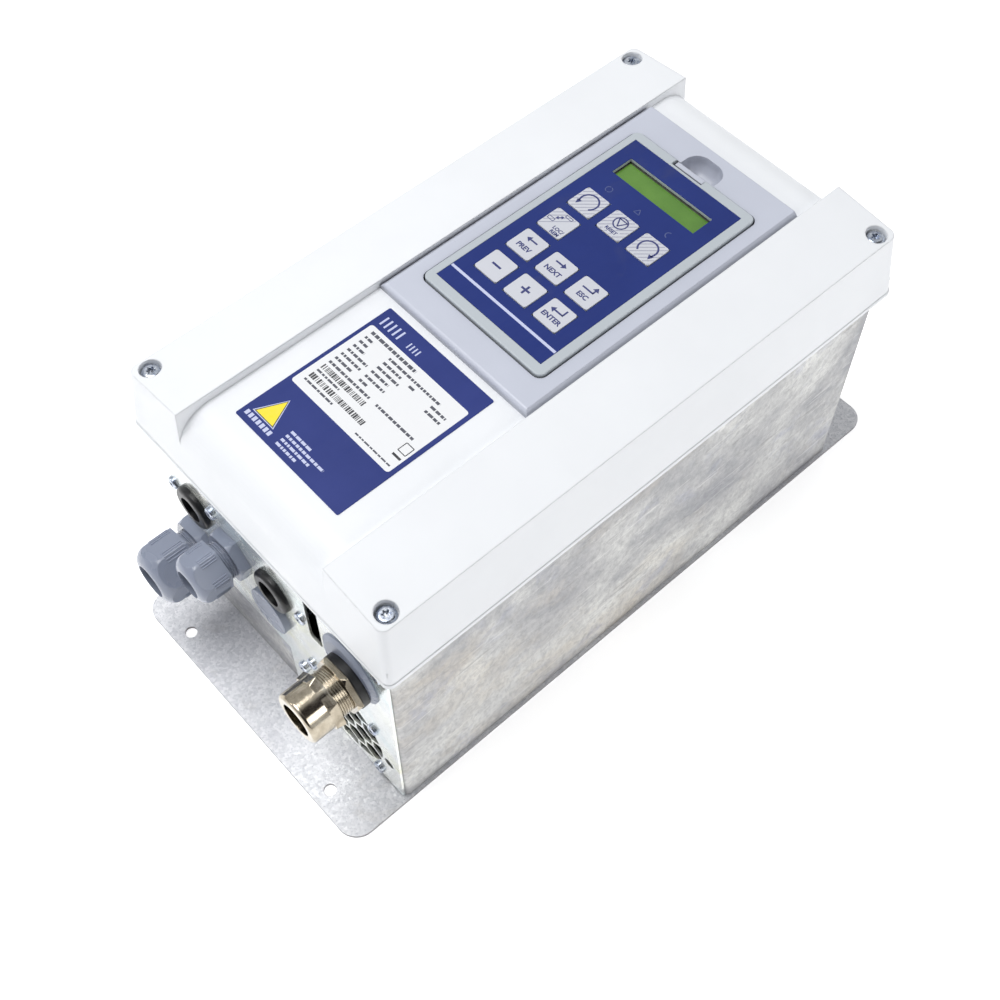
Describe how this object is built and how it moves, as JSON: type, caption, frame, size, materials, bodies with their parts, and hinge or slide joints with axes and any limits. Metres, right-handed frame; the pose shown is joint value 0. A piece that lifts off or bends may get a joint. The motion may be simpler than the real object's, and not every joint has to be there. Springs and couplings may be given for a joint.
{
  "type": "variable frequency drive",
  "caption": "Wall-mounted motor inverter in a sheet steel box on a flanged plate, with a ribbed-edge white plastic cover, keypad with display, cable glands and a cooling fan.",
  "frame": {"origin": "centre of the mounting plate's back face, midway between the four wall bolt holes", "axes": "+Z out of the front cover, away from the wall; +Y along the length towards the top end with the display; +X to the right seen from the front; cable glands point along -Y"},
  "size_m": [0.202, 0.416, 0.2019],
  "materials": {
    "plate_zinc": "spangled zinc coating, dull",
    "box_steel": "galvanised, stained and scuffed",
    "plate_passivated": "pale zinc passivation, satin",
    "screw_steel": "zinc plated",
    "sink_aluminium": "extruded, matte",
    "black_plastic": "fine texture",
    "module_plastic": "moulded",
    "board_green": "solder mask",
    "can_sleeve": "shrink sleeve",
    "core_iron": "laminated, varnished",
    "winding_copper": "enamelled",
    "terminal_green": "moulded",
    "brass_bright": "plain",
    "gland_grey": "moulded polyamide, satin",
    "reducer_grey": "moulded polyamide, satin",
    "nickel_brass": "nickel plated, polished, slightly warm",
    "rubber_black": "moulded",
    "cover_white": "fine grained, slight sheen",
    "bezel_grey": "fine grained, cool grey",
    "panel_grey": "fine grained",
    "overlay_blue": "printed polyester film, satin",
    "label_blue": "printed label, satin",
    "lcd_green": "reflective display, clear pane",
    "key_grey": "printed keys, satin"
  },
  "bodies": {
    "chassis": {"mounting_plate": "plate_zinc", "chassis_box": "box_steel", "gland_plate": "plate_passivated", "gland_plate_screws": "screw_steel", "heatsink": "sink_aluminium", "fan_housing": "black_plastic", "fan_screws": "screw_steel", "power_module": "module_plastic", "power_board": "board_green", "power_board_standoffs": "screw_steel", "dc_capacitors": "can_sleeve", "dc_choke_core": "core_iron", "dc_choke_winding": "winding_copper", "power_terminals": "module_plastic", "control_board": "board_green", "control_terminals": "terminal_green", "control_board_standoffs": "screw_steel", "board_shield": "plate_zinc", "earth_stud": "brass_bright", "gland_large_body": "gland_grey", "gland_large_seal": "rubber_black", "gland_small_body": "gland_grey", "gland_small_seal": "rubber_black", "gland_metal_body": "nickel_brass", "gland_metal_seal": "rubber_black", "gland_reducer": "reducer_grey", "gland_washer": "rubber_black", "gland_locknuts": "gland_grey", "grommet_left": "rubber_black", "grommet_right": "rubber_black", "blanking_plug": "reducer_grey", "cover_gasket": "rubber_black", "cover_screw_posts": "screw_steel"},
    "fan_rotor": {"fan_rotor": "black_plastic"},
    "gland_large_nut": {"gland_large_nut": "gland_grey"},
    "gland_small_nut": {"gland_small_nut": "gland_grey"},
    "gland_metal_nut": {"gland_metal_nut": "nickel_brass"},
    "front_cover": {"front_cover": "cover_white", "cover_screws": "screw_steel", "bezel": "bezel_grey", "rating_label": "label_blue", "panel_socket": "black_plastic"},
    "control_panel": {"panel_frame": "panel_grey", "panel_back": "panel_grey", "panel_overlay": "overlay_blue", "lcd_module": "black_plastic", "lcd_glass": "lcd_green", "panel_board": "board_green", "panel_plug": "black_plastic"},
    "panel_latch": {"panel_latch": "bezel_grey"},
    "key_run_left": {"key_run_left": "key_grey"},
    "key_stop": {"key_stop": "key_grey"},
    "key_run_right": {"key_run_right": "key_grey"},
    "key_local_remote": {"key_local_remote": "key_grey"},
    "key_previous": {"key_previous": "key_grey"},
    "key_next": {"key_next": "key_grey"},
    "key_escape": {"key_escape": "key_grey"},
    "key_minus": {"key_minus": "key_grey"},
    "key_plus": {"key_plus": "key_grey"},
    "key_enter": {"key_enter": "key_grey"}
  },
  "joints": [
    {"name": "cover_lift", "type": "slide", "parent": "chassis", "child": "front_cover", "axis": [0, 0, 1], "range_m": [0, 0.06]},
    {"name": "panel_hinge", "type": "hinge", "parent": "front_cover", "child": "control_panel", "pos_m": [0, -0.0304, 0.2], "axis": [1, 0, 0], "range_deg": [0, 50]},
    {"name": "panel_latch_press", "type": "slide", "parent": "control_panel", "child": "panel_latch", "axis": [0, -1, 0], "range_m": [0, 0.0009], "stiffness_N_per_m": 200},
    {"name": "fan_spin", "type": "hinge", "parent": "chassis", "child": "fan_rotor", "pos_m": [0.05, -0.156, 0.036], "axis": [0, 1, 0], "continuous": true},
    {"name": "gland_large_turn", "type": "hinge", "parent": "chassis", "child": "gland_large_nut", "pos_m": [-0.0695, -0.19, 0.0655], "axis": [0, 1, 0], "continuous": true},
    {"name": "gland_small_turn", "type": "hinge", "parent": "chassis", "child": "gland_small_nut", "pos_m": [-0.0325, -0.19, 0.104], "axis": [0, 1, 0], "continuous": true},
    {"name": "gland_metal_turn", "type": "hinge", "parent": "chassis", "child": "gland_metal_nut", "pos_m": [0.0655, -0.2, 0.11], "axis": [0, 1, 0], "continuous": true},
    {"name": "key_run_left_press", "type": "slide", "parent": "control_panel", "child": "key_run_left", "axis": [0, 0, -1], "range_m": [0, 0.0004], "stiffness_N_per_m": 400},
    {"name": "key_stop_press", "type": "slide", "parent": "control_panel", "child": "key_stop", "axis": [0, 0, -1], "range_m": [0, 0.0004], "stiffness_N_per_m": 400},
    {"name": "key_run_right_press", "type": "slide", "parent": "control_panel", "child": "key_run_right", "axis": [0, 0, -1], "range_m": [0, 0.0004], "stiffness_N_per_m": 400},
    {"name": "key_local_remote_press", "type": "slide", "parent": "control_panel", "child": "key_local_remote", "axis": [0, 0, -1], "range_m": [0, 0.0004], "stiffness_N_per_m": 400},
    {"name": "key_previous_press", "type": "slide", "parent": "control_panel", "child": "key_previous", "axis": [0, 0, -1], "range_m": [0, 0.0004], "stiffness_N_per_m": 400},
    {"name": "key_next_press", "type": "slide", "parent": "control_panel", "child": "key_next", "axis": [0, 0, -1], "range_m": [0, 0.0004], "stiffness_N_per_m": 400},
    {"name": "key_escape_press", "type": "slide", "parent": "control_panel", "child": "key_escape", "axis": [0, 0, -1], "range_m": [0, 0.0004], "stiffness_N_per_m": 400},
    {"name": "key_minus_press", "type": "slide", "parent": "control_panel", "child": "key_minus", "axis": [0, 0, -1], "range_m": [0, 0.0004], "stiffness_N_per_m": 400},
    {"name": "key_plus_press", "type": "slide", "parent": "control_panel", "child": "key_plus", "axis": [0, 0, -1], "range_m": [0, 0.0004], "stiffness_N_per_m": 400},
    {"name": "key_enter_press", "type": "slide", "parent": "control_panel", "child": "key_enter", "axis": [0, 0, -1], "range_m": [0, 0.0004], "stiffness_N_per_m": 400}
  ]
}
